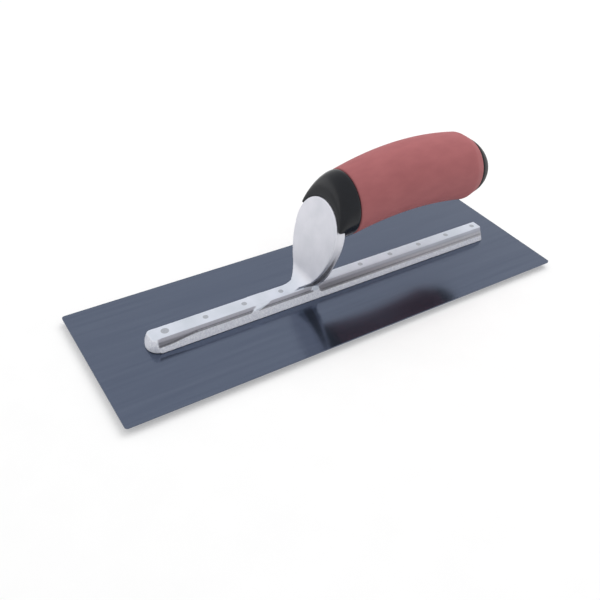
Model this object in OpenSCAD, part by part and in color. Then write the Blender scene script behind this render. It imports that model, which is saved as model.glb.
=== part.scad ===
// Finishing trowel: a steel blade riveted to a cast mounting, with a soft-grip handle.
// X runs from toe to heel, Z is up, and the origin is under the middle of the blade.

/* [Blade] */
// Length of the blade from toe to heel
blade_l = 304.8; // [280:0.1:410]
// Width of the blade
blade_w = 101.6; // [76:0.1:130]
// Thickness of the blade's sheet
blade_t = 0.8; // [0.6:0.05:1.5]
// Radius of the blade's corners
blade_corner_r = 2; // [0.4:0.1:6]

/* [Mounting bar] */
// Distance from the blade's toe to the bar
toe_margin = 31.8; // [24:0.1:36]
// Distance from the bar to the blade's heel
heel_margin = 21.9; // [14:0.1:36]
// Width of the bar where it sits on the blade
bar_w = 16.6; // [15:0.1:22]
// Width across the top of the bar, before the coves
bar_top_w = 12; // [11:0.1:14]
// Height of the bar above the blade
bar_h = 8.6; // [7.5:0.1:12]
// How far the toe end slopes in between its foot and its top
toe_slope = 3; // [1:0.1:4]
// How far the heel end slopes in between its foot and its top
heel_slope = 1; // [0.5:0.1:3]
// Size of the cuts across the bar's corners at the toe
toe_chamfer = 3.4; // [1:0.1:4]
// Size of the cuts across the bar's corners at the heel
heel_chamfer = 2.2; // [1:0.1:4]
// Angle by which those cuts lean in
chamfer_lean = 18; // [5:1:25]
// Width of the flat left on top between the coves
flat_w = 9.6; // [8:0.1:9.8]
// Radius of the coves along the sides
cove_r = 3.9; // [2.8:0.1:4.5]
// Height of a cove's centre above the top of the bar
cove_rise = 0.9; // [0.4:0.1:1.5]
// Length of the plain block at the toe end
toe_block_l = 4.5; // [4:0.5:15]
// Length of the cove behind the toe block
toe_cove_l = 63.1; // [40:0.1:66]
// Length over which that cove then runs out at the top of the bar
cove_exit_l = 2.5; // [2:0.5:8]
// Height by which it has risen there
cove_exit_rise = 3.4; // [3.2:0.1:6]
// Distance from the end of the toe cove to the start of the front cove
cove_gap_l = 1; // [0.5:0.1:6]
// Length over which the front cove comes in
cove_taper_l = 9; // [6:0.5:16]
// How far out from its final line the front cove starts
tip_out = 1.9; // [1.9:0.1:4]
// How far below its final line the front cove starts
tip_drop = 2.7; // [2:0.1:3.5]
// Step in radius where a cove's end meets it
cove_step = 0.15; // [0.1:0.05:0.3]

/* [Rivets] */
// Diameter of the rivet at the toe
toe_rivet_d = 5; // [4:0.1:6]
// Diameter of the other rivets
rivet_d = 3.6; // [3:0.1:4.5]
// How much wider a rivet's countersunk head is than its shank
rivet_flare = 2.4; // [1:0.1:4]
// Distance from the toe end of the bar to the first rivet
toe_rivet_inset = 12.4; // [8:0.1:20]
// Distance from the foot of the shank forward to the nearest rivet
front_rivet_gap = 13; // [12:0.1:20]
// Number of rivets in front of the shank, with the toe rivet
toe_count = 4; // [2:1:5]
// Distance from the heel end of the bar to the last rivet
heel_rivet_inset = 6; // [5:0.1:20]
// Distance from the foot of the shank back to the nearest rivet behind it
rear_rivet_gap = 46.7; // [20:0.1:55]
// Number of rivets behind the shank
heel_count = 5; // [2:1:6]
// Radial clearance round a rivet
rivet_clear = 0.05; // [0.02:0.01:0.2]

/* [Shank] */
// Distance from the blade's middle forward to the foot of the shank's front face
foot_x = 19; // [10:0.5:30]
// Angle by which the shank leans back
leaf_lean = 15; // [5:1:25]
// Radius of the round top of the shank
leaf_r = 20.6; // [17:0.1:21.2]
// Height of that radius's centre up the shank
leaf_rise = 38; // [34:0.5:42]
// Radius of the shank's tapering sides
leaf_side_r = 50; // [44:1:80]
// Thickness of the shank behind the handle's seat
leaf_t = 6.5; // [5:0.1:9]
// Thickness of the shank at its foot
neck_t = 12; // [10:0.5:16]
// Height up the shank at which its back becomes flat
neck_rise = 28; // [20:1:30]
// Radius of the sweep from the bar up into the shank's front
foot_sweep_r = 15; // [8:0.5:17]
// Width of the ledge left on the bar's flat at each side of the shank's foot
foot_ledge = 0.3; // [0.2:0.1:1]
// How deep the sweep's edge sinks into the bar and the shank
sweep_sink = 0.15; // [0.1:0.05:0.4]
// Diameter of the post behind the shank that carries the handle
post_d = 13; // [11:0.5:14]
// Length of that post
post_l = 6; // [5:0.5:7]
// Radius of the groove that carries the front cove up the side of the shank
groove_r = 2.6; // [2:0.1:3]
// Depth of that groove
groove_depth = 1.1; // [0.6:0.1:1.4]
// Distance of the groove's middle behind the shank's face
groove_x = 3.8; // [3.2:0.1:4.5]
// Height up the shank at which the groove starts
groove_foot = 3; // [2:0.5:4]
// How far out and up the groove's centre lies from that of the shank's side
groove_out = 2.1; // [1.6:0.1:3]

/* [Handle] */
// Height of the handle's bolt above the bar
axis_rise = 50; // [47:0.5:51]
// Distance from the handle's seat on the shank back to the top of the handle's arch
arch_x = 57.8; // [57:0.1:62]
// Height of the handle's centre line above the bar at the top of its arch
arch_rise = 57.9; // [56:0.1:60]
// Radius of the arch that the handle follows
arch_r = 194; // [175:1:260]
// Distance along the arch from its top forward to the front of the grip
grip_front = 50; // [48:0.1:51]
// Distance along the arch from its top back to the start of the shoulder
swell_s = 42.5; // [30:0.5:44]
// Distance along the arch from its top back to the end cap
cap_s = 47; // [46:0.5:54]
// How far the end cap stands out behind the grip
cap_l = 13.6; // [8:0.1:16]
// Share of the arch's slope that the rear of the handle takes
rear_tilt = 0.68; // [0:0.02:1]
// Radius of the grip at its front
grip_front_r = 20.2; // [18.5:0.1:21]
// Radius of the grip at its thickest
grip_swell_r = 21.9; // [21:0.1:24]
// Radius of the end cap
cap_r = 18.2; // [16:0.1:19]
// Sharpness of the shoulder between the thickest place and the end cap
shoulder_power = 1.5; // [1.2:0.1:3]
// Wall of the soft grip
grip_wall = 3.5; // [2:0.1:5]
// Gap between the soft grip and the core
grip_gap = 0.1; // [0.05:0.05:0.3]

/* [Front collar] */
// Half width of the collar's rim round the shank
rim_half_w = 21.3; // [21.2:0.1:23]
// Half height of the collar's rim
rim_half_h = 16; // [14:0.1:18]
// Height of the rim's centre above the centre of the shank's round top
rim_rise = 8.5; // [6:0.1:10]
// How far the shank's face stands out of the collar
rim_setback = 1.2; // [0.5:0.1:3]
// Angle through which the collar's section turns from the grip to the rim
collar_turn = 75; // [50:1:90]
// Clearance between the collar and the shank
seat_clear = 0.15; // [0.05:0.05:0.3]

/* [Handle fastening] */
// Diameter of the stud through the handle
bolt_d = 8; // [6:0.5:8.5]
// Depth of the stud in the post
thread_l = 9; // [6:0.5:11]
// Distance from the front of the core to the nut's seat
nut_seat = 76; // [66:1:80]
// Outer diameter of the washer
washer_d = 16; // [14:0.5:17]
// Thickness of the washer
washer_t = 1.6; // [1:0.1:2.5]
// Width of the nut across its flats
nut_flats = 13; // [10:0.5:14]
// Height of the nut
nut_h = 6.5; // [5:0.5:8]
// Length of stud behind the nut
stud_end = 2; // [1:0.5:4]
// Diameter of the core's nose inside the collar
nose_d = 20; // [18:0.5:22]
// Diameter of the bore behind the core that holds the nut and the cap's plug
plug_d = 18; // [17.5:0.5:20]
// Length of the cap's plug
plug_l = 6; // [4:0.5:7]
// Radial clearance of the turned fits in the handle
fit_clear = 0.2; // [0.1:0.05:0.3]

/* [Hidden] */
$fn = 64;
// Overlap that makes a cut pass cleanly through a face
eps = 0.5;
// Sides and rings of the handle's lofts
loft_sides = 40;
grip_rings = 15;
shoulder_rings = 4;
cap_rings = 8;
collar_rings = 8;
// Angle of the cap's dome that is drawn, short of its pole
cap_sweep = 84;
// Angle of the arc that cuts the groove
groove_arc = 36;
// Depth to which the shank is rooted in the bar
root = bar_h / 2;
// Width of the slabs that the shank is cut from
slab_w = 2 * leaf_r + 2 * eps;

bar_top = blade_t + bar_h;
cove_y = flat_w / 2 + sqrt(cove_r * cove_r - cove_rise * cove_rise);
cove_z = bar_top + cove_rise;
toe_end = toe_margin - blade_l / 2;
heel_end = blade_l / 2 - heel_margin;
toe_cove_start = toe_end + toe_block_l;
toe_cove_end = toe_cove_start + toe_cove_l;
front_cove_start = toe_cove_end + cove_gap_l;
front_cove_end = -foot_x + groove_x * cos(leaf_lean);
rear_cove_start = -foot_x + neck_t * cos(leaf_lean);

toe_rivet_x = toe_end + toe_rivet_inset;
toe_pitch = (-foot_x - front_rivet_gap - toe_rivet_x) / (toe_count - 1);
rear_rivet_x = -foot_x + rear_rivet_gap;
heel_pitch = (heel_end - heel_rivet_inset - rear_rivet_x) / (heel_count - 1);
small_xs = concat([for (i = [1:toe_count - 1]) toe_rivet_x + i * toe_pitch],
    [for (i = [0:heel_count - 1]) rear_rivet_x + i * heel_pitch]);

neck_back_r = (pow(neck_t - leaf_t, 2) + pow(neck_rise, 2)) / (2 * (neck_t - leaf_t));
sweep_l = foot_sweep_r * tan((90 - leaf_lean) / 2);
axis_z = bar_top + axis_rise;
seat_x = -foot_x + axis_rise * tan(leaf_lean) + leaf_t / cos(leaf_lean);
core_x = seat_x + post_l;
nut_x = core_x + nut_seat;
stud_x = nut_x + washer_t + nut_h + stud_end;
arch_top = [seat_x + arch_x, bar_top + arch_rise];

// Centre line of the handle at distance s along its arch, and the tilt of its rings
function arch_angle(s) = s / arch_r * 180 / PI;
function ring_angle(s) = s < 0 ? 0 : arch_angle(s) * rear_tilt;
function spine(s) = [arch_top[0] + arch_r * sin(arch_angle(s)), 0,
    arch_top[1] - arch_r * (1 - cos(arch_angle(s)))];

// Radius of the handle at distance s: a slow swell, a shoulder, then the dome of the cap
function swell(s) = grip_front_r + (grip_swell_r - grip_front_r)
    * sin(90 * (s + grip_front) / (swell_s + grip_front));
function shoulder(s) = grip_swell_r - (grip_swell_r - cap_r)
    * pow((s - swell_s) / (cap_s - swell_s), shoulder_power);
function dome(s) = cap_r * sqrt(1 - pow((s - cap_s) / cap_l, 2));
function handle_r(s) = s < swell_s ? swell(s) : s < cap_s ? shoulder(s) : dome(s);
function grip_stations() = concat(
    [for (k = [0:grip_rings]) -grip_front + (swell_s + grip_front) * k / grip_rings],
    [for (k = [1:shoulder_rings]) swell_s + (cap_s - swell_s) * k / shoulder_rings]);

// One ring of points square to the arch
function ring(s, r) = let (a = ring_angle(s), c = spine(s))
    [for (i = [0:loft_sides - 1]) let (t = 360 * i / loft_sides)
        c + [r * cos(t) * sin(a), r * sin(t), r * cos(t) * cos(a)]];

// Rim of the collar, an ellipse just behind the face of the shank
function lean_point(out, up) = [-foot_x + out * cos(leaf_lean) + up * sin(leaf_lean), 0,
    bar_top - out * sin(leaf_lean) + up * cos(leaf_lean)];
function rim() = [for (i = [0:loft_sides - 1]) let (t = 360 * i / loft_sides)
    lean_point(rim_setback, leaf_rise + rim_rise + rim_half_h * cos(t)) + [0, rim_half_w * sin(t), 0]];

// Collar's surface, leaving the grip straight ahead and turning in to the rim
function collar_point(a, b, t) = let (along = [b[0] - a[0], 0, 0], across = b - a - along)
    a + along * sin(collar_turn * t) / sin(collar_turn)
    + across * (1 - cos(collar_turn * t)) / (1 - cos(collar_turn));
function collar_ring(t) = let (a = ring(-grip_front, grip_front_r), b = rim())
    [for (i = [0:loft_sides - 1]) collar_point(a[i], b[i], t)];

// Solid skin over a list of rings of equal size, closed at both ends
module skin(rings) {
    n = len(rings[0]);
    last = len(rings) - 1;
    points = [for (r = rings) each r];
    sides = [for (k = [0:last - 1], i = [0:n - 1]) let (j = (i + 1) % n)
        each [[k * n + i, k * n + j, (k + 1) * n + j], [k * n + i, (k + 1) * n + j, (k + 1) * n + i]]];
    ends = [[for (i = [n - 1:-1:0]) i], [for (i = [0:n - 1]) last * n + i]];
    polyhedron(points, concat(sides, ends), convexity = 4);
}

// Body of the handle from collar to cap, drawn in by inset and lengthened by over at both ends
module handle_body(inset, over = 0) {
    front = over > 0 ? [ring(-grip_front - over, grip_front_r - inset)] : [];
    rear = over > 0 ? [ring(cap_s + over, cap_r - inset)] : [];
    skin(concat(front, [for (s = grip_stations()) ring(s, handle_r(s) - inset)], rear));
}

// Cylinder along X between two places
module rod(x0, x1, r, y = 0, z = axis_z) {
    translate([x0, y, z]) rotate([0, 90, 0]) cylinder(h = x1 - x0, r = r);
}

// Plate with round corners
module rounded_plate(l, w, h, r) {
    linear_extrude(h) union() {
        square([l - 2 * r, w], center = true);
        square([l, w - 2 * r], center = true);
        for (x = [-1, 1], y = [-1, 1]) translate([x * (l / 2 - r), y * (w / 2 - r)]) circle(r);
    }
}

// Rivet with a head flush under the blade and its end flush with the bar
module rivet(x, d, grow = 0) {
    translate([x, 0, -grow]) union() {
        cylinder(h = blade_t + grow, r1 = (d + rivet_flare) / 2 + grow, r2 = d / 2 + grow);
        cylinder(h = bar_top + 2 * grow, r = d / 2 + grow);
    }
}

module rivet_holes() {
    rivet(toe_rivet_x, toe_rivet_d, rivet_clear);
    for (x = small_xs) rivet(x, rivet_d, rivet_clear);
}

// Cylinder from one point to another
module limb(from, to, r) {
    d = to - from;
    translate(from) rotate([0, acos(d[2] / norm(d)), atan2(d[1], d[0])]) cylinder(h = norm(d), r = r);
}

// Point on the line of a cove, moved out and up
function cove_point(x, side, out = 0, up = 0) = [x, side * (cove_y + out), cove_z + up];

// Straight cove along one side of the bar, with a ball at one end
module cove(ball_x, open_x, side) {
    translate(cove_point(ball_x, side)) sphere(cove_r);
    translate(cove_point(min(ball_x, open_x), side)) rotate([0, 90, 0])
        cylinder(h = abs(open_x - ball_x), r = cove_r);
}

// The three coves along one side of the bar
module coves(side) {
    exit_x = toe_cove_end + cove_exit_l;
    front_open = front_cove_start + cove_taper_l;
    end_r = cove_r - cove_step;
    cove(toe_cove_start + cove_r, toe_cove_end, side);
    limb(cove_point(toe_cove_end - cove_r, side), cove_point(exit_x, side, 0, cove_exit_rise), end_r);
    limb(cove_point(front_cove_start, side, tip_out, -tip_drop),
        cove_point(front_open + cove_r, side), end_r);
    cove(front_cove_end, front_open, side);
    cove(rear_cove_start + cove_r, heel_end + cove_r, side);
}

// Leaning cut across one corner of the bar's plan
module corner_cut(x, dir, side, size) {
    translate([x - dir * size / 2, side * (bar_w - size) / 2, blade_t]) rotate([0, 0, atan2(side, dir)])
        rotate([0, -chamfer_lean, 0]) translate([0, -bar_w / 2, -bar_h]) cube([bar_w, bar_w, 3 * bar_h]);
}

// Bar with drafted sides, sloped ends and cut corners
module bar_blank() {
    difference() {
        intersection() {
            along(toe_end, heel_end) polygon([[-bar_w / 2, blade_t], [bar_w / 2, blade_t],
                [bar_top_w / 2, bar_top], [-bar_top_w / 2, bar_top]]);
            across(bar_w) polygon([[toe_end, blade_t], [heel_end, blade_t],
                [heel_end - heel_slope, bar_top], [toe_end + toe_slope, bar_top]]);
        }
        for (side = [-1, 1]) {
            corner_cut(toe_end, -1, side, toe_chamfer);
            corner_cut(heel_end, 1, side, heel_chamfer);
        }
    }
}

// Frame of the shank: X out of its back, Z up its length, from the foot of its face
module lean() {
    translate([-foot_x, 0, bar_top]) rotate([0, leaf_lean, 0]) children();
}

// Front view of the shank: a round top on tapering sides and a stem inside the bar's flat
module leaf_outline(grow = 0) {
    translate([0, leaf_rise]) circle(leaf_r + grow);
    intersection() {
        translate([leaf_r - leaf_side_r, leaf_rise]) circle(leaf_side_r + grow, $fn = 180);
        translate([leaf_side_r - leaf_r, leaf_rise]) circle(leaf_side_r + grow, $fn = 180);
        translate([-leaf_r - grow, -bar_h]) square([2 * (leaf_r + grow), bar_h + leaf_rise]);
    }
}

module stem_outline() {
    w = flat_w - 2 * foot_ledge;
    translate([-w / 2, -bar_h]) square([w, bar_h + leaf_rise]);
}

// Side view of the shank: an even plate on a neck that sweeps into the bar
module shank_side() {
    top = leaf_rise + leaf_r;
    translate([0, -root]) square([leaf_t, top + root]);
    difference() {
        translate([0, -root]) square([neck_t, neck_rise + root]);
        translate([leaf_t + neck_back_r, neck_rise]) circle(neck_back_r, $fn = 180);
    }
}

// Sweep from the top of the bar up into the shank's face
module foot_sweep() {
    difference() {
        polygon([[-foot_x - sweep_l, bar_top], [-foot_x - sweep_l, bar_top - root],
            [-foot_x, bar_top - root], [-foot_x + neck_t / 2, bar_top],
            [-foot_x + sweep_l * sin(leaf_lean) + leaf_t / 2, bar_top + sweep_l * cos(leaf_lean)],
            [-foot_x + sweep_l * sin(leaf_lean), bar_top + sweep_l * cos(leaf_lean)]]);
        translate([-foot_x - sweep_l, bar_top + foot_sweep_r - sweep_sink])
            circle(foot_sweep_r, $fn = 180);
    }
}

module across(w) {
    translate([0, w / 2, 0]) rotate([90, 0, 0]) linear_extrude(w) children();
}

module along(from, to) {
    translate([from, 0, 0]) rotate([90, 0, 90]) linear_extrude(to - from) children();
}

module shank() {
    intersection() {
        union() {
            lean() across(slab_w) shank_side();
            across(slab_w) foot_sweep();
        }
        lean() along(-slab_w, slab_w) union() {
            leaf_outline();
            stem_outline();
        }
    }
}

// Groove up one side of the shank, running out where its arc leaves that side
module shank_groove() {
    reach = leaf_side_r + groove_r - groove_depth;
    low = asin((leaf_rise + groove_out - groove_foot) / reach);
    lean() translate([groove_x, leaf_r - leaf_side_r + groove_out, leaf_rise + groove_out])
        rotate([-90, 0, 90]) rotate([0, 0, low - groove_arc])
            rotate_extrude(angle = groove_arc) translate([reach, 0]) circle(groove_r);
}

module blade() {
    color([0.36, 0.40, 0.49]) difference() {
        rounded_plate(blade_l, blade_w, blade_t, blade_corner_r);
        rivet_holes();
    }
}

module mounting() {
    color([0.82, 0.82, 0.84]) difference() {
        union() {
            difference() {
                bar_blank();
                for (side = [-1, 1]) coves(side);
            }
            shank();
            rod(seat_x - leaf_t / 2, core_x, post_d / 2);
        }
        shank_groove();
        mirror([0, 1, 0]) shank_groove();
        rivet_holes();
        rod(core_x - thread_l, core_x + eps, bolt_d / 2 + fit_clear);
    }
}

module toe_rivet() {
    color([0.70, 0.71, 0.73]) rivet(toe_rivet_x, toe_rivet_d);
}

module bar_rivets() {
    color([0.70, 0.71, 0.73]) for (x = small_xs) rivet(x, rivet_d);
}

module front_collar() {
    color([0.10, 0.10, 0.11]) difference() {
        skin([for (k = [collar_rings:-1:0]) collar_ring(k / collar_rings)]);
        lean() along(-slab_w, leaf_t + seat_clear) leaf_outline(seat_clear);
        rod(seat_x - leaf_t, core_x + eps, post_d / 2 + fit_clear);
        rod(core_x, core_x + 2 * nose_d, nose_d / 2 + fit_clear);
    }
}

module handle_core() {
    color([0.13, 0.13, 0.14]) difference() {
        union() {
            handle_body(grip_wall + grip_gap);
            rod(core_x, core_x + nose_d, nose_d / 2);
        }
        rod(core_x - eps, nut_x + eps, bolt_d / 2 + fit_clear);
        rod(nut_x, spine(cap_s)[0] + plug_d, plug_d / 2);
    }
}

module soft_grip() {
    color([0.70, 0.38, 0.40]) difference() {
        handle_body(0);
        handle_body(grip_wall, eps);
    }
}

module end_cap() {
    plug_x = spine(cap_s)[0] - plug_l;
    color([0.20, 0.20, 0.21]) union() {
        skin([for (k = [0:cap_rings]) let (s = cap_s + cap_l * sin(cap_sweep * k / cap_rings))
            ring(s, handle_r(s))]);
        rod(plug_x, spine(cap_s)[0] + plug_l / 2, plug_d / 2 - fit_clear);
    }
}

module handle_stud() {
    color([0.62, 0.63, 0.65]) rod(core_x - thread_l + fit_clear, stud_x, bolt_d / 2);
}

module stud_washer() {
    color([0.66, 0.67, 0.69]) difference() {
        rod(nut_x, nut_x + washer_t, washer_d / 2);
        rod(nut_x - eps, nut_x + washer_t + eps, bolt_d / 2 + fit_clear);
    }
}

module stud_nut() {
    color([0.66, 0.67, 0.69]) difference() {
        translate([nut_x + washer_t, 0, axis_z]) rotate([0, 90, 0])
            cylinder(h = nut_h, r = nut_flats / 2 / cos(30), $fn = 6);
        rod(nut_x, nut_x + washer_t + nut_h + eps, bolt_d / 2 + fit_clear);
    }
}

blade();
mounting();
toe_rivet();
bar_rivets();
front_collar();
handle_core();
soft_grip();
end_cap();
handle_stud();
stud_washer();
stud_nut();
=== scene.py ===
"""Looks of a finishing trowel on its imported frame. Metres, same axes as the solids."""

import math

import bmesh
import bpy
from mathutils import Matrix, Vector


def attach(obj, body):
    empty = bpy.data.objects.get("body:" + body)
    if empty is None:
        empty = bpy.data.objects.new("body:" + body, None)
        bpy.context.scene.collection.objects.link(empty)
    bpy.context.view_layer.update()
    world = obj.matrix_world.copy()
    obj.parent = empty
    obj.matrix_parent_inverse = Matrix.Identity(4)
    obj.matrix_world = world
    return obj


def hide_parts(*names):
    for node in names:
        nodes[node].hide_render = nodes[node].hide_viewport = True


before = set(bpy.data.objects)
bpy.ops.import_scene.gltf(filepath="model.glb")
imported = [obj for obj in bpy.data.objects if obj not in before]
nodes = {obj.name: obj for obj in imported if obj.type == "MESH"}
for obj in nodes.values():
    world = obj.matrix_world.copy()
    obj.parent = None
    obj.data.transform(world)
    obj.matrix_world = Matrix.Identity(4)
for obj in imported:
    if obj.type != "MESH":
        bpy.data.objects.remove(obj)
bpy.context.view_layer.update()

MM = 0.001

# Sizes of the solids, the handle's trimmed for looks, in millimetres
BLADE_T = 0.8
BAR_TOP = 9.4
BAR_W = 16.6
BAR_TOP_W = 12.0
FLAT_W = 9.6
COVE_FOOT = 6.92
TOE_RIVET = (-108.2, 5.0)
RIVET_D = 3.6
RIVET_XS = (-82.8, -57.4, -32.0, 27.7, 51.9, 76.1, 100.3, 124.5)
RIVET_FLARE = 2.4
FOOT_X = 19.0
LEAN = math.radians(15)
LEAF_R = 20.6
LEAF_RISE = 38.0
LEAF_SIDE_R = 50.0
LEAF_T = 6.5
GROOVE_R = 2.6
GROOVE_BITE = 1.1
GROOVE_X = 3.8
GROOVE_OUT = 2.1
GROOVE_REACH = LEAF_SIDE_R + GROOVE_R - GROOVE_BITE
AXIS_RISE = 50.0
SEAT_X = -FOOT_X + AXIS_RISE * math.tan(LEAN) + LEAF_T / math.cos(LEAN)
SEAT_CLEAR = 0.15
ARCH_TOP = (SEAT_X + 57.8, BAR_TOP + 57.9)
ARCH_R = 194.0
REAR_TILT = 0.4
GRIP_FRONT = 50.0
GRIP_FRONT_R = 20.2
GRIP_SWELL_R = 21.8
GRIP_WALL = 3.5
SWELL_S = 38.4
CAP_S = 46.0
CAP_TIP = 63.0
CAP_TAPER = 0.45
CAP_R = 18.8
GRIP_L = CAP_S + GRIP_FRONT
RIM_HALF_W = 21.2
RIM_MID = 42.0
RIM_TOP = 59.6
RIM_FOOT = 30.5
RIM_SETBACK = 0.6
COLLAR_FOOT = 47.0
COLLAR_TURN = math.radians(75)

# Forms that the scene alone has, in millimetres
HAIR = 0.02
RIVET_EDGE = 0.3
PLUG_SPARE, PLUG_LIFT = 0.4, 0.1
TOE_X, TOE_R = -112.0, 8.35
TOE_RING_R, TOE_RING_SPARE = 20.0, 2.0
BEVEL_RUNS = ((-125.0, -113.8), (-58.0, -36.0))
BEVEL_OUT = 7.2
# Rear coves: where they start, how far they reach, their radius and their centre across and up
REAR_COVE = (-4.5, 132.0, 5.2, 8.96, 10.06)
# Ends of the first cove's scoop: x, and the section there, across and up
SCOOP_ENDS = ((-115.6, ((7.2, 5.1), (6.05, 6.95), (6.05, 7.8), (9.0, 7.8), (9.0, 5.1))),
              (-89.0, ((6.7, 6.92), (6.64, 6.98), (6.64, 7.8), (9.0, 7.8), (9.0, 6.92))))
# Lips: how far along from the end, and how much smaller there
GRIP_LIP = ((0.0, 0.7), (0.08, 0.4), (0.3, 0.15), (0.7, 0.0))
CAP_LIP = ((0.0, 0.7), (0.05, 0.35))
# Collar's lip at the grip: share of the way to the rim, and how much smaller there
COLLAR_LIP = ((0.0, 0.9), (0.015, 0.45), (0.05, 0.12))
COLLAR_BACK_DROP = 1.0
# How far cutters reach past what they cut
CUT_SPARE, CUT_HALF_W = 20.0, 40.0
SEAT_FOOT = 8.0

# Rounding: voxel in millimetres, and rounds of smoothing
CASTING_SOFT = (0.33, 3)
COLLAR_SOFT = (0.3, 8)
FOOT_ROUNDS, NOSE_ROUNDS = 200, 40
SMOOTH_SHARE = 0.5
WELD_AT = 1e-6
# Sweep at the leaf's foot: its reach, height and depth, and how its easing fades
SWEEP_REACH, SWEEP_HEIGHT, SWEEP_BELOW, SWEEP_DEPTH = 26.0, 24.0, 0.5, 2.0
SWEEP_LOWEST, SWEEP_MARGIN, SWEEP_SIDE_FADE, SWEEP_TOP_FADE = 0.5, 0.6, 2.0, 6.0
# Bar's ends: where their easing starts, and how it fades
NOSE_TOE, NOSE_HEEL, NOSE_TOP = TOE_X - 1.5, 128.0, BAR_TOP - 0.6
NOSE_FADE, NOSE_TOP_FADE = 2.0, 1.5

# Steps round and along the forms
SIDES = 128
RIVET_SIDES = 48
BALL_STEPS = 12
TOE_STEPS = 24
LEAF_STEPS, CROWN_STEPS = 24, 48
GRIP_STEPS, BORE_STEPS = 90, 30
CAP_STEPS, CAP_LAST_TURN = 24, math.radians(88.5)
COLLAR_STEPS, COLLAR_FIRST = 40, 4

# Casting's finishes and painted shade, in millimetres: where each is full, then where it is gone
FLANK = Vector((BAR_TOP - BLADE_T, (BAR_W - BAR_TOP_W) / 2)).normalized()
COVE_DEPTH = (0.4, 0.12)
SANDED_Z = (6.4, 7.2)
TOE_SANDED_X, TOE_SANDED_Z = (-115.2, -113.8), (8.6, 9.3)
# Painted shade in the shank's groove: its edge, and where it fades in height
GROOVE_EDGE, GROOVE_Z = (GROOVE_R + 0.3, GROOVE_R + 0.8), (11.0, 8.5)
TOE_DIP_X, SHANK_DIP_X, DIP = (-111.0, -90.0), (-6.0, -9.0), 1.7
FLANK_Y = (6.2, 5.6)
UNSANDED_DROP, UNSANDED_Z, UNSANDED_X = (0.1, -0.3), (8.0, 8.6), (-92.0, -88.0)
# Painted shade line at each cove's foot: its reach in height, and its strength
SHADE_LINE_DROP, SHADE_LINE_SHARE = (0.3, 0.95), 0.75
LEAF_Z = (18.0, 10.0)
# Each cove's first and last x at its foot, and how far these shift for each mm of height
COVE_RUNS = ((-115.5, 0.0, -54.5, 1.4), (-49.5, 3.5, -12.0, 0.0), (-8.5, 0.0, 131.0, 0.0))
RUN_FADE = 1.2
# The coves' painted shade grows fainter towards the heel: x in decimetres, and its strength
COVE_SHADE_FAINTER = ((0.0, 1.0), (0.7, 0.55))
DECIMETRE = 100.0
COVE_SHADE_RISE = 0.4
GRAIN_SHARE = 0.5
POLISHED_BUMP = 0.15

# Stage, in metres and watts
FLOOR_SIZE, FLOOR_Z, FLOOR_GLOW = 8, -0.004, 0.3
HORIZON_LIGHT, ZENITH_LIGHT = 0.15, 1.05

# Camera fitted to the photo: its right, up and back, its place and its lens
CAMERA_AXES = ((0.8400193, -0.5402210, 0.0502881),
               (0.3001480, 0.5399194, 0.7863830),
               (-0.4519721, -0.6454830, 0.6156890))
CAMERA_AT = (-0.220722, -0.309730, 0.287168)
CAMERA_LENS, CAMERA_SENSOR, CAMERA_SHIFT = 44.6826, 36, -0.03


# Handle's centre line, rings and radius

def arch_angle(s):
    return s / ARCH_R


def ring_angle(s):
    return 0.0 if s < 0 else arch_angle(s) * REAR_TILT


def spine(s):
    a = arch_angle(s)
    return Vector((ARCH_TOP[0] + ARCH_R * math.sin(a), 0,
                   ARCH_TOP[1] - ARCH_R * (1 - math.cos(a))))


def handle_r(s):
    """Radius of the grip, its rear shoulder and the cap at s along the arch."""
    if s < SWELL_S:
        turn = math.pi / 2 * (s + GRIP_FRONT) / (SWELL_S + GRIP_FRONT)
        return GRIP_FRONT_R + (GRIP_SWELL_R - GRIP_FRONT_R) * math.sin(turn)
    if s < CAP_S:
        return GRIP_SWELL_R - (GRIP_SWELL_R - CAP_R) * (s - SWELL_S) / (CAP_S - SWELL_S)
    share = CAP_TAPER + (1 - CAP_TAPER) * (s - CAP_S) / (CAP_TIP - CAP_S)
    return CAP_R * math.sqrt(max(0.0, 1 - share ** 2) / (1 - CAP_TAPER ** 2))


def around(sides=SIDES):
    return [2 * math.pi * i / sides for i in range(sides)]


def ring(s, r):
    a, c = ring_angle(s), spine(s)
    return [c + Vector((r * math.cos(t) * math.sin(a), r * math.sin(t),
                        r * math.cos(t) * math.cos(a))) for t in around()]


def lean_point(out, up, y=0.0):
    """Point in the shank's own frame: out behind its face, up along it, y across."""
    return Vector((-FOOT_X + out * math.cos(LEAN) + up * math.sin(LEAN), y,
                   BAR_TOP - out * math.sin(LEAN) + up * math.cos(LEAN)))


def rim_point(q):
    """Point of the collar's rim round the shank, at angle q."""
    reach = RIM_TOP - RIM_MID if math.cos(q) > 0 else RIM_MID - RIM_FOOT
    return lean_point(RIM_SETBACK, RIM_MID + reach * math.cos(q), RIM_HALF_W * math.sin(q))


def collar_ring(t, drop=0.0):
    """Ring a share t of the way from the grip to the rim, smaller by drop at the grip."""
    ahead = math.sin(COLLAR_TURN * t) / math.sin(COLLAR_TURN)
    inward = (1 - math.cos(COLLAR_TURN * t)) / (1 - math.cos(COLLAR_TURN))
    pairs = zip(ring(-GRIP_FRONT, GRIP_FRONT_R - drop), [rim_point(q) for q in around()])
    return [p + Vector(((q.x - p.x) * ahead, (q.y - p.y) * inward, (q.z - p.z) * inward))
            for p, q in pairs]


def leaf_half_width(up):
    if up <= LEAF_RISE:
        return LEAF_R - LEAF_SIDE_R + math.sqrt(LEAF_SIDE_R ** 2 - (LEAF_RISE - up) ** 2)
    return math.sqrt(max(0.0, LEAF_R ** 2 - (up - LEAF_RISE) ** 2))


# Meshes

def mesh_object(name, points, faces, smooth=True):
    mesh = bpy.data.meshes.new(name)
    mesh.from_pydata([p * MM for p in points], [], faces)
    mesh.update()
    for f in mesh.polygons:
        f.use_smooth = smooth
    obj = bpy.data.objects.new(name, mesh)
    bpy.context.scene.collection.objects.link(obj)
    return obj


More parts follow.
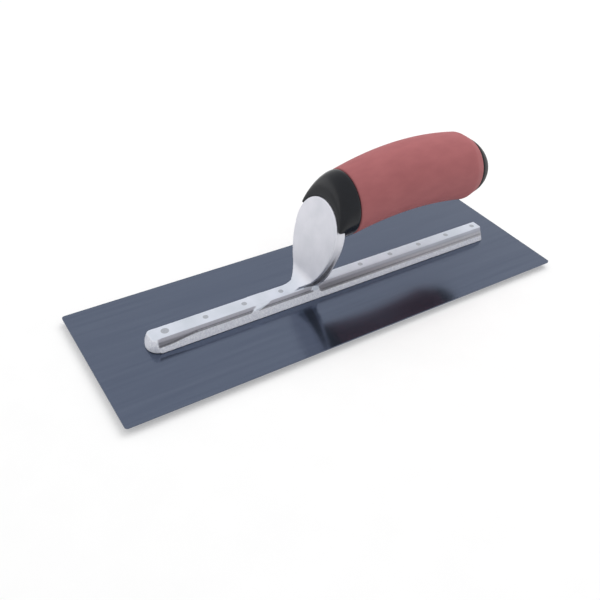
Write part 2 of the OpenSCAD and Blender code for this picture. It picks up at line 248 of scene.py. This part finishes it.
def band(n, a, b):
    """Faces between two rings of n points that start at a and at b."""
    return [(a + i, b + i, b + (i + 1) % n, a + (i + 1) % n) for i in range(n)]


def loft(name, rings):
    """Closed solid over rings of equal size, in order along the handle."""
    n, last = len(rings[0]), len(rings) - 1
    faces = [f for k in range(last) for f in band(n, k * n, (k + 1) * n)]
    faces.append(tuple(range(n)))
    faces.append(tuple(last * n + i for i in range(n - 1, -1, -1)))
    return mesh_object(name, [p for r in rings for p in r], faces)


def sleeve(name, outer, inner):
    """Closed tube between an outer and an inner list of rings."""
    loop = outer + inner[::-1]
    n, count = len(outer[0]), len(loop)
    faces = [f for k in range(count) for f in band(n, k * n, (k + 1) % count * n)]
    return mesh_object(name, [p for r in loop for p in r], faces)


def turned(name, profiles):
    """Solids of revolution about upright axes, one for each (x, profile of radius and height)."""
    points, faces, n = [], [], RIVET_SIDES
    for x, profile in profiles:
        base, top = len(points), len(points) + (len(profile) - 1) * n
        for r, z in profile:
            points += [Vector((x + r * math.cos(a), r * math.sin(a), z)) for a in around(n)]
        for low in range(base, top, n):
            faces += band(n, low + n, low)
        faces.append(tuple(base + i for i in range(n - 1, -1, -1)))
        faces.append(tuple(top + i for i in range(n)))
    return mesh_object(name, points, faces, smooth=False)


def bake(obj):
    """Turns an object's modifiers into its mesh."""
    graph = bpy.context.evaluated_depsgraph_get()
    mesh = bpy.data.meshes.new_from_object(obj.evaluated_get(graph))
    obj.modifiers.clear()
    obj.data = mesh


def cut(obj, tool):
    m = obj.modifiers.new("cut", "BOOLEAN")
    m.operation = "DIFFERENCE"
    m.solver = "EXACT"
    m.object = tool
    bake(obj)
    bpy.data.objects.remove(tool)


def cutter(name, points, faces):
    """Flat-sided solid with its faces turned outward, so that it cuts as a solid."""
    return outward(mesh_object(name, points, faces, smooth=False))


def outward(obj):
    bm = bmesh.new()
    bm.from_mesh(obj.data)
    bmesh.ops.recalc_face_normals(bm, faces=bm.faces)
    bm.to_mesh(obj.data)
    bm.free()
    return obj


def soften(obj, voxel, rounds):
    """Rounds every edge, as on a casting or a moulding."""
    w = obj.modifiers.new("weld", "WELD")
    w.merge_threshold = WELD_AT
    r = obj.modifiers.new("remesh", "REMESH")
    r.mode = "VOXEL"
    r.voxel_size = voxel * MM
    r.use_smooth_shade = True
    s = obj.modifiers.new("smooth", "SMOOTH")
    s.factor = SMOOTH_SHARE
    s.iterations = rounds


def ease(obj, weight, rounds):
    """Smooths an object's points further where weight says so."""
    group = obj.vertex_groups.new(name="ease")
    for v in obj.data.vertices:
        w = weight(v.co / MM)
        if w > 0.01:
            group.add([v.index], w, "REPLACE")
    s = obj.modifiers.new("ease", "SMOOTH")
    s.factor = SMOOTH_SHARE
    s.iterations = rounds
    s.vertex_group = "ease"
    bake(obj)
    obj.vertex_groups.clear()


# Materials

class Paint:
    """A procedural material with one principled shader."""

    def __init__(self, name, **values):
        self.mat = bpy.data.materials.new(name)
        self.mat.use_nodes = True
        self.tree = self.mat.node_tree
        self.shader = self.tree.nodes["Principled BSDF"]
        self.coord = self.tree.nodes.new("ShaderNodeTexCoord")
        for k, v in values.items():
            self.shader.inputs[k.replace("_", " ")].default_value = v

    def noise(self, scale, stretch=(1, 1, 1), detail=4.0, rough=0.5):
        m = self.tree.nodes.new("ShaderNodeMapping")
        m.inputs["Scale"].default_value = stretch
        self.tree.links.new(self.coord.outputs["Object"], m.inputs["Vector"])
        n = self.tree.nodes.new("ShaderNodeTexNoise")
        n.inputs["Scale"].default_value = scale
        n.inputs["Detail"].default_value = detail
        n.inputs["Roughness"].default_value = rough
        self.tree.links.new(m.outputs["Vector"], n.inputs["Vector"])
        return n.outputs["Fac"]

    def place(self):
        """X, Y and Z in millimetres."""
        split = self.tree.nodes.new("ShaderNodeSeparateXYZ")
        self.tree.links.new(self.coord.outputs["Object"], split.inputs[0])
        return [self.math("MULTIPLY", split.outputs[i], 1 / MM) for i in range(3)]

    def math(self, op, a, b=0.0):
        m = self.tree.nodes.new("ShaderNodeMath")
        m.operation = op
        for socket, value in zip(m.inputs, (a, b)):
            if isinstance(value, (int, float)):
                socket.default_value = value
            else:
                self.tree.links.new(value, socket)
        return m.outputs[0]

    def plus(self, a, b):
        return self.math("ADD", a, b)

    def minus(self, a, b):
        return self.math("SUBTRACT", a, b)

    def product(self, first, *others):
        for value in others:
            first = self.math("MULTIPLY", first, value)
        return first

    def highest(self, first, *others):
        for value in others:
            first = self.math("MAXIMUM", first, value)
        return first

    def length(self, a, b):
        return self.math("SQRT", self.plus(self.product(a, a), self.product(b, b)))

    def fade(self, value, full, none):
        """One at full, falling smoothly to nothing at none."""
        m = self.tree.nodes.new("ShaderNodeMapRange")
        m.interpolation_type = "SMOOTHSTEP"
        m.inputs["From Min"].default_value = full
        m.inputs["From Max"].default_value = none
        m.inputs["To Min"].default_value = 1.0
        m.inputs["To Max"].default_value = 0.0
        self.tree.links.new(value, m.inputs["Value"])
        return m.outputs["Result"]

    def shades(self, fac, stops):
        """Colours or grey levels by position along fac."""
        r = self.tree.nodes.new("ShaderNodeValToRGB")
        while len(r.color_ramp.elements) < len(stops):
            r.color_ramp.elements.new(0.5)
        for e, (pos, col) in zip(r.color_ramp.elements, stops):
            e.position = pos
            e.color = (*col, 1) if isinstance(col, tuple) else (col, col, col, 1)
        self.tree.links.new(fac, r.inputs["Fac"])
        return r.outputs["Color"]

    def between(self, fac, low, high):
        """From low to high over the middle of a noise's spread."""
        return self.shades(fac, [(0.3, low), (0.7, high)])

    def mix(self, fac, a, b, kind="MIX"):
        m = self.tree.nodes.new("ShaderNodeMix")
        m.data_type = "RGBA"
        m.blend_type = kind
        if isinstance(fac, float):
            m.inputs[0].default_value = fac
        else:
            self.tree.links.new(fac, m.inputs[0])
        self.tree.links.new(a, m.inputs[6])
        self.tree.links.new(b, m.inputs[7])
        return m.outputs[2]

    def colour(self, value):
        self.tree.links.new(value, self.shader.inputs["Base Color"])

    def roughness(self, value):
        self.tree.links.new(value, self.shader.inputs["Roughness"])

    def bump(self, fac, strength, distance):
        b = self.tree.nodes.new("ShaderNodeBump")
        b.inputs["Strength"].default_value = strength
        b.inputs["Distance"].default_value = distance * MM
        self.tree.links.new(fac, b.inputs["Height"])
        self.tree.links.new(b.outputs["Normal"], self.shader.inputs["Normal"])


def blued_steel():
    p = Paint("blued_steel", Metallic=0.85)
    streaks = p.noise(60, (0.25, 9, 9), 6, 0.6)
    p.colour(p.between(streaks, (0.089, 0.110, 0.163), (0.108, 0.131, 0.186)))
    p.roughness(p.between(p.noise(14, (1, 3, 3), 3), 0.13, 0.21))
    p.bump(streaks, 0.04, 0.05)
    return p.mat


def cast_aluminium():
    """Polished flats and leaf, sanded flanks, and rough coves and grooves as cast; the coves are
    darker partly as cast and partly by painted shade, which also darkens the groove.
    """
    p = Paint("cast_aluminium", Metallic=1.0)
    x, y, z = p.place()
    side = p.math("ABSOLUTE", y)
    height = p.minus(z, COVE_FOOT)

    # Coves, by their depth below the plain bar's flank and top
    from_flank = p.minus(p.product(p.minus(BAR_W / 2, side), FLANK[0]),
                         p.product(p.minus(z, BLADE_T), FLANK[1]))
    in_cove = p.fade(p.math("MINIMUM", from_flank, p.minus(BAR_TOP, z)), *COVE_DEPTH)
    at_toe = p.product(p.fade(x, *TOE_SANDED_X), p.fade(z, *TOE_SANDED_Z))
    low = p.highest(p.fade(z, *SANDED_Z), at_toe)

    # Shank's groove, where shade is painted in
    ahead, rise = p.plus(x, FOOT_X), p.minus(z, BAR_TOP)
    out = p.minus(p.product(ahead, math.cos(LEAN)), p.product(rise, math.sin(LEAN)))
    up = p.plus(p.product(ahead, math.sin(LEAN)), p.product(rise, math.cos(LEAN)))
    from_hub = p.length(p.minus(side, LEAF_R - LEAF_SIDE_R + GROOVE_OUT),
                        p.minus(up, LEAF_RISE + GROOVE_OUT))
    from_groove = p.length(p.minus(from_hub, GROOVE_REACH), p.minus(out, GROOVE_X))
    groove_shade = p.product(p.fade(from_groove, *GROOVE_EDGE), p.fade(z, *GROOVE_Z))

    # Painted shade: a darkened line where a cove ends on the flank, standing in for the shadow
    # there; lower at the toe where the flank is less sanded
    dip = p.product(p.highest(p.fade(x, *TOE_DIP_X), p.fade(x, *SHANK_DIP_X)), DIP)
    drop = p.minus(p.plus(z, dip), COVE_FOOT)
    on_flank = p.fade(side, *FLANK_Y)
    # The less sanded flank near the toe takes the coves' colour, painted shade included
    unsanded = p.product(p.fade(drop, *UNSANDED_DROP), on_flank,
                         p.fade(z, *UNSANDED_Z), p.fade(x, *UNSANDED_X))
    runs = []
    for first, first_lean, last, last_lean in COVE_RUNS:
        start = p.minus(x, p.product(height, first_lean))
        end = p.minus(x, p.product(height, last_lean))
        runs.append(p.product(p.fade(start, first + RUN_FADE, first),
                              p.fade(end, last - RUN_FADE, last)))
    in_run = p.highest(*runs)
    in_cove = p.product(p.highest(in_cove, unsanded), in_run)
    fainter = p.shades(p.math("DIVIDE", x, DECIMETRE), COVE_SHADE_FAINTER)
    shade_line = p.product(p.fade(p.math("ABSOLUTE", drop), *SHADE_LINE_DROP), on_flank, in_run,
                        fainter, SHADE_LINE_SHARE)

    grain = p.noise(1000, (1, 1, 1), 5, 0.65)
    cloud = p.noise(70, (1, 1, 1), 3)
    flats = p.between(cloud, (0.64, 0.68, 0.75), (0.76, 0.79, 0.87))
    leaf = p.between(cloud, (0.64, 0.65, 0.70), (0.76, 0.76, 0.81))
    polished = p.mix(p.fade(z, *LEAF_Z), flats, leaf)
    sanded = p.shades(grain, [(0.32, (0.74, 0.75, 0.82)), (0.68, (0.97, 0.98, 1.0))])
    # Painted shade: the coves' colour darkens towards their bottom, over their as-cast grey
    cove = p.shades(p.product(height, COVE_SHADE_RISE),
                    [(0.05, (0.37, 0.37, 0.41)), (0.35, (0.56, 0.56, 0.62)),
                     (0.9, (0.68, 0.68, 0.74))])
    cove = p.mix(GRAIN_SHARE, cove, p.between(grain, 0.55, 1.0), "MULTIPLY")
    # Painted shade for the line at each cove's foot and for the shank's groove
    painted_shade = p.shades(grain, [(0.36, (0.12, 0.12, 0.14)), (0.66, (0.30, 0.30, 0.33))])
    colour = p.mix(low, polished, sanded)
    # Painted shade in the coves, fainter towards the heel
    colour = p.mix(p.product(in_cove, fainter), colour, cove)
    for mask in (shade_line, groove_shade):
        colour = p.mix(mask, colour, painted_shade)
    p.colour(colour)

    as_cast = p.highest(low, shade_line, in_cove, groove_shade)
    p.roughness(p.mix(as_cast, p.between(cloud, 0.48, 0.58), p.between(grain, 0.74, 0.88)))
    relief = p.plus(p.product(as_cast, 1 - POLISHED_BUMP), POLISHED_BUMP)
    p.bump(p.product(grain, relief), 0.5, 0.12)
    return p.mat


def grip_rubber():
    p = Paint("grip_rubber", Specular_IOR_Level=0.25)
    cloud = p.noise(90, (1, 2, 2), 4)
    p.colour(p.between(cloud, (0.375, 0.122, 0.129), (0.415, 0.138, 0.145)))
    fine = p.noise(1500, (1, 1, 1), 2)
    p.roughness(p.between(fine, 0.62, 0.74))
    p.bump(fine, 0.08, 0.04)
    return p.mat


def speckled(name, scale, detail, colours, roughs=None, **values):
    """Material whose colour and roughness vary with one even noise."""
    p = Paint(name, **values)
    grain = p.noise(scale, (1, 1, 1), detail)
    p.colour(p.between(grain, *colours))
    if roughs:
        p.roughness(p.between(grain, *roughs))
    return p


def white_where_seen(tree):
    """One for rays that show or mirror a surface, nothing for rays that light by it."""
    path = tree.nodes.new("ShaderNodeLightPath")
    seen = path.outputs["Is Camera Ray"]
    for other in ("Is Glossy Ray", "Is Transmission Ray"):
        either = tree.nodes.new("ShaderNodeMath")
        either.operation = "MAXIMUM"
        tree.links.new(seen, either.inputs[0])
        tree.links.new(path.outputs[other], either.inputs[1])
        seen = either.outputs[0]
    return seen


def scaled(tree, value, low, high):
    """From low to high as value goes from nothing to one."""
    m = tree.nodes.new("ShaderNodeMapRange")
    m.inputs["To Min"].default_value = low
    m.inputs["To Max"].default_value = high
    tree.links.new(value, m.inputs["Value"])
    return m.outputs["Result"]


def mix_shader(tree, fac, a, b):
    m = tree.nodes.new("ShaderNodeMixShader")
    for socket, value in zip(m.inputs, (fac, a, b)):
        tree.links.new(value, socket)
    return m.outputs[0]


def paper():
    p = speckled("paper", 40, 2, ((0.965, 0.965, 0.965), (0.985, 0.985, 0.985)), Roughness=0.9)
    glow = p.tree.nodes.new("ShaderNodeEmission").outputs[0]
    seen = scaled(p.tree, white_where_seen(p.tree), 0.0, FLOOR_GLOW)
    shown = mix_shader(p.tree, seen, p.shader.outputs[0], glow)
    p.tree.links.new(shown, p.tree.nodes["Material Output"].inputs["Surface"])
    return p.mat


RIVET = speckled("rivet_metal", 1400, 4, ((0.39, 0.41, 0.45), (0.48, 0.50, 0.55)),
                 (0.38, 0.5), Metallic=1.0).mat
STUD = speckled("stud_steel", 900, 3, ((0.55, 0.56, 0.58), (0.65, 0.66, 0.68)),
                (0.25, 0.35), Metallic=1.0).mat
COLLAR = speckled("black_plastic", 120, 3, ((0.003, 0.004, 0.007), (0.005, 0.007, 0.011)),
                  (0.2, 0.26), Specular_IOR_Level=0.27).mat
CAP = speckled("cap_plastic", 900, 3, ((0.018, 0.017, 0.019), (0.026, 0.025, 0.027)),
               (0.45, 0.55), Specular_IOR_Level=0.15).mat
CORE = speckled("core_plastic", 800, 2, ((0.02, 0.02, 0.022), (0.03, 0.03, 0.032))).mat


def wear(obj, mat):
    obj.data.materials.clear()
    obj.data.materials.append(mat)


def finish_piece(obj, node, mat):
    wear(obj, mat)
    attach(obj, "root")
    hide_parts(node)


# Blade and hidden fastenings keep their solids
wear(nodes["blade"], blued_steel())
wear(nodes["handle_core"], CORE)
for name in ("handle_stud", "stud_washer", "stud_nut"):
    wear(nodes[name], STUD)


# Mounting: the solid with its rivet holes closed and its edges rounded as cast

def casting():
    source = nodes["mounting"]
    obj = bpy.data.objects.new("casting", source.data.copy())
    obj.data.transform(source.matrix_world)
    bpy.context.scene.collection.objects.link(obj)
    return obj


def fill_holes(obj):
    """Plugs the rivet holes; the rivets' ends are pieces of their own."""
    bm = bmesh.new()
    bm.from_mesh(obj.data)
    low, high = (BLADE_T + PLUG_LIFT) * MM, BAR_TOP * MM
    for x, d in (TOE_RIVET, *((x, RIVET_D) for x in RIVET_XS)):
        middle = Matrix.Translation((x * MM, 0, (low + high) / 2))
        r = (d / 2 + PLUG_SPARE) * MM
        bmesh.ops.create_cone(bm, cap_ends=True, segments=RIVET_SIDES, radius1=r, radius2=r,
                              depth=high - low, matrix=middle)
    bm.to_mesh(obj.data)
    bm.free()


def clamp(value):
    return max(0.0, min(1.0, value))


def foot_weight(p):
    """Full on the sweep between the bar's flat and the leaf, away from its edges."""
    ahead, rise = p.x + FOOT_X, p.z - BAR_TOP
    out = ahead * math.cos(LEAN) - rise * math.sin(LEAN)
    up = ahead * math.sin(LEAN) + rise * math.cos(LEAN)
    if out > SWEEP_DEPTH or ahead < -SWEEP_REACH or not -SWEEP_BELOW <= rise <= SWEEP_HEIGHT:
        return 0.0
    inside = leaf_half_width(max(up, SWEEP_LOWEST)) - abs(p.y) - SWEEP_MARGIN
    return clamp(inside / SWEEP_SIDE_FADE) * clamp((SWEEP_HEIGHT - rise) / SWEEP_TOP_FADE)


def nose_weight(p):
    """Full at the bar's toe, and at its heel below the top edge."""
    toe = (NOSE_TOE - p.x) / NOSE_FADE
    heel = min((p.x - NOSE_HEEL) / NOSE_FADE, (NOSE_TOP - p.z) / NOSE_TOP_FADE)
    return clamp(max(toe, heel))


def bevel(side, first, last):
    """Prism that takes the bar's top corner off where no cove runs, so the flat keeps its width."""
    top = BAR_TOP + HAIR
    section = ((FLAT_W / 2, top), (BEVEL_OUT, top), (BEVEL_OUT, COVE_FOOT))
    points = [Vector((x, side * y, z)) for x in (first, last) for y, z in section]
    faces = [(2, 1, 0), (4, 5, 3), (1, 4, 3, 0), (2, 5, 4, 1), (0, 3, 5, 2)]
    return cutter("bevel", points, faces)


def scoop(side):
    """Tapered solid that widens the first cove down the flank towards the toe."""
    points = [Vector((x, side * y, z)) for x, section in SCOOP_ENDS for y, z in section]
    n = len(points) // 2
    faces = [tuple(range(n)), tuple(range(2 * n - 1, n - 1, -1))]
    for i in range(n):
        j = (i + 1) % n
        faces += [(i, n + i, n + j), (i, n + j, j)]
    return cutter("scoop", points, faces)


def rear_cove(side):
    """Round-ended rod that cuts the wider cove behind the shank."""
    first, last, r, y, z = REAR_COVE
    turns = [math.pi / 2 * k / BALL_STEPS for k in range(1, BALL_STEPS + 1)]
    rows = [(first - r * math.cos(t), r * math.sin(t)) for t in turns] + [(last, r)]
    rings = [[Vector((x, side * y + q * math.cos(a), z + q * math.sin(a))) for a in around()]
             for x, q in rows]
    return outward(loft("rear_cove", rings))


def toe_ring():
    """Half ring outside the bar's round toe."""
    points, faces, last = [], [], 4 * TOE_STEPS
    for k in range(TOE_STEPS + 1):
        a = math.pi * (k / TOE_STEPS - 0.5)
        for r in (TOE_R, TOE_RING_R):
            for z in (BLADE_T - TOE_RING_SPARE, BAR_TOP + TOE_RING_SPARE):
                points.append(Vector((TOE_X - r * math.cos(a), r * math.sin(a), z)))
    for k in range(0, last, 4):
        faces += [(k, k + 1, k + 5, k + 4), (k + 2, k + 6, k + 7, k + 3),
                  (k, k + 4, k + 6, k + 2), (k + 1, k + 3, k + 7, k + 5)]
    faces += [(0, 2, 3, 1), (last, last + 1, last + 3, last + 2)]
    return cutter("toe_ring", points, faces)


mounting = casting()
for side in (-1, 1):
    for first, last in BEVEL_RUNS:
        cut(mounting, bevel(side, first, last))
    cut(mounting, scoop(side))
    cut(mounting, rear_cove(side))
cut(mounting, toe_ring())
fill_holes(mounting)
soften(mounting, *CASTING_SOFT)
bake(mounting)
ease(mounting, foot_weight, FOOT_ROUNDS)
ease(mounting, nose_weight, NOSE_ROUNDS)
finish_piece(mounting, "mounting", cast_aluminium())


# Rivets: heads flush under the blade, ends ground a hair proud of the bar

def rivet_profile(d):
    r = d / 2
    return [(r + RIVET_FLARE / 2, 0.0), (r, BLADE_T), (r, BAR_TOP - HAIR),
            (r - RIVET_EDGE, BAR_TOP + HAIR)]


finish_piece(turned("toe_rivet_end", [(TOE_RIVET[0], rivet_profile(TOE_RIVET[1]))]),
             "toe_rivet", RIVET)
finish_piece(turned("bar_rivet_ends", [(x, rivet_profile(RIVET_D)) for x in RIVET_XS]),
             "bar_rivets", RIVET)


# Soft grip: a sleeve with rounded lips at both ends

def grip_outside():
    lip = GRIP_LIP[-1][0]
    rows = [(-GRIP_FRONT + a, handle_r(-GRIP_FRONT + a) - b) for a, b in GRIP_LIP]
    for k in range(1, GRIP_STEPS):
        s = -GRIP_FRONT + lip + (GRIP_L - 2 * lip) * k / GRIP_STEPS
        rows.append((s, handle_r(s)))
    rows += [(CAP_S - a, handle_r(CAP_S - a) - b) for a, b in reversed(GRIP_LIP)]
    return [ring(s, r) for s, r in rows]


def grip_bore():
    stations = [-GRIP_FRONT + GRIP_L * k / BORE_STEPS for k in range(BORE_STEPS + 1)]
    return [ring(s, handle_r(s) - GRIP_WALL) for s in stations]


finish_piece(sleeve("grip_sleeve", grip_outside(), grip_bore()),
             "soft_grip", grip_rubber())


# End cap: a shallow dome

def cap_dome():
    rings = [ring(CAP_S + a, CAP_R - b) for a, b in CAP_LIP]
    for k in range(len(CAP_LIP), CAP_STEPS + 1):
        s = CAP_S + (CAP_TIP - CAP_S) * math.sin(CAP_LAST_TURN * k / CAP_STEPS)
        rings.append(ring(s, handle_r(s)))
    return loft("cap_dome", rings)


finish_piece(cap_dome(), "end_cap", CAP)


# Front collar: from the round grip to the rim round the shank

def collar_shell():
    rings = [ring(-GRIP_FRONT, GRIP_FRONT_R - COLLAR_BACK_DROP)]
    rings += [collar_ring(t, drop) for t, drop in COLLAR_LIP]
    rings += [collar_ring(k / COLLAR_STEPS) for k in range(COLLAR_FIRST, COLLAR_STEPS + 1)]
    return loft("collar_shell", rings[::-1])


def leaf_seat():
    """The shank's leaf, grown by its clearance, that cuts its seat in the collar."""
    flank = []
    for k in range(LEAF_STEPS + 1):
        up = SEAT_FOOT + (LEAF_RISE - SEAT_FOOT) * k / LEAF_STEPS
        flank.append((leaf_half_width(up) + SEAT_CLEAR, up))
    r = LEAF_R + SEAT_CLEAR
    turns = [math.pi * k / CROWN_STEPS for k in range(1, CROWN_STEPS)]
    crown = [(r * math.cos(a), LEAF_RISE + r * math.sin(a)) for a in turns]
    outline = flank + crown + [(-y, up) for y, up in reversed(flank)]
    n = len(outline)
    points = [lean_point(out, up, y) for out in (-CUT_SPARE, LEAF_T + SEAT_CLEAR)
              for y, up in outline]
    faces = [tuple(range(n)), tuple(range(2 * n - 1, n - 1, -1))] + band(n, 0, n)
    return cutter("seat", points, faces)


def foot_trim():
    """Box that takes the collar's foot off in front of the leaf's back."""
    points = [lean_point(out, up, y) for up in (-CUT_SPARE, COLLAR_FOOT)
              for y in (-CUT_HALF_W, CUT_HALF_W) for out in (-CUT_SPARE, LEAF_T)]
    faces = [(0, 2, 3, 1), (4, 5, 7, 6), (0, 1, 5, 4), (2, 6, 7, 3), (0, 4, 6, 2), (1, 3, 7, 5)]
    return cutter("trim", points, faces)


collar = collar_shell()
cut(collar, leaf_seat())
cut(collar, foot_trim())
soften(collar, *COLLAR_SOFT)
finish_piece(collar, "front_collar", COLLAR)

# Floor and light
bpy.ops.mesh.primitive_plane_add(size=FLOOR_SIZE, location=(0, 0, FLOOR_Z))
floor = bpy.context.object
floor.name = "floor"
wear(floor, paper())


def area(name, place, aim, size, power):
    lamp = bpy.data.lights.new(name, "AREA")
    lamp.shape = "RECTANGLE"
    lamp.size, lamp.size_y = size
    lamp.energy = power
    obj = bpy.data.objects.new(name, lamp)
    obj.location = place
    obj.rotation_euler = (Vector(aim) - Vector(place)).to_track_quat("-Z", "Y").to_euler()
    obj.visible_camera = False
    bpy.context.scene.collection.objects.link(obj)
    return obj


key = area("key", place=(0.8, 0.35, 1.4), aim=(0, 0, 0), size=(1.2, 1.2), power=11.5)
key.visible_glossy = False
area("rim", place=(-1.1, 1.2, 0.35), aim=(0, 0, 0.05), size=(1.6, 0.5), power=1.4)


def studio():
    """World that lights from overhead, and is white where it is seen or mirrored."""
    world = bpy.data.worlds.new("studio")
    world.use_nodes = True
    tree = world.node_tree
    split = tree.nodes.new("ShaderNodeSeparateXYZ")
    way = tree.nodes.new("ShaderNodeTexCoord")
    tree.links.new(way.outputs["Generated"], split.inputs[0])
    light, white = (tree.nodes.new("ShaderNodeBackground") for _ in range(2))
    for sky in (light, white):
        sky.inputs["Color"].default_value = (1, 1, 1, 1)
    strength = scaled(tree, split.outputs["Z"], HORIZON_LIGHT, ZENITH_LIGHT)
    tree.links.new(strength, light.inputs["Strength"])
    shown = mix_shader(tree, white_where_seen(tree), light.outputs[0], white.outputs[0])
    tree.links.new(shown, tree.nodes["World Output"].inputs["Surface"])
    return world


bpy.context.scene.world = studio()

# Camera
lens = bpy.data.cameras.new("camera")
lens.lens = CAMERA_LENS
lens.sensor_width = CAMERA_SENSOR
lens.shift_x = CAMERA_SHIFT
camera = bpy.data.objects.new("camera", lens)
camera.matrix_world = Matrix.Translation(CAMERA_AT) @ Matrix(CAMERA_AXES).transposed().to_4x4()
bpy.context.scene.collection.objects.link(camera)
bpy.context.scene.camera = camera
bpy.context.scene.view_settings.view_transform = "Standard"
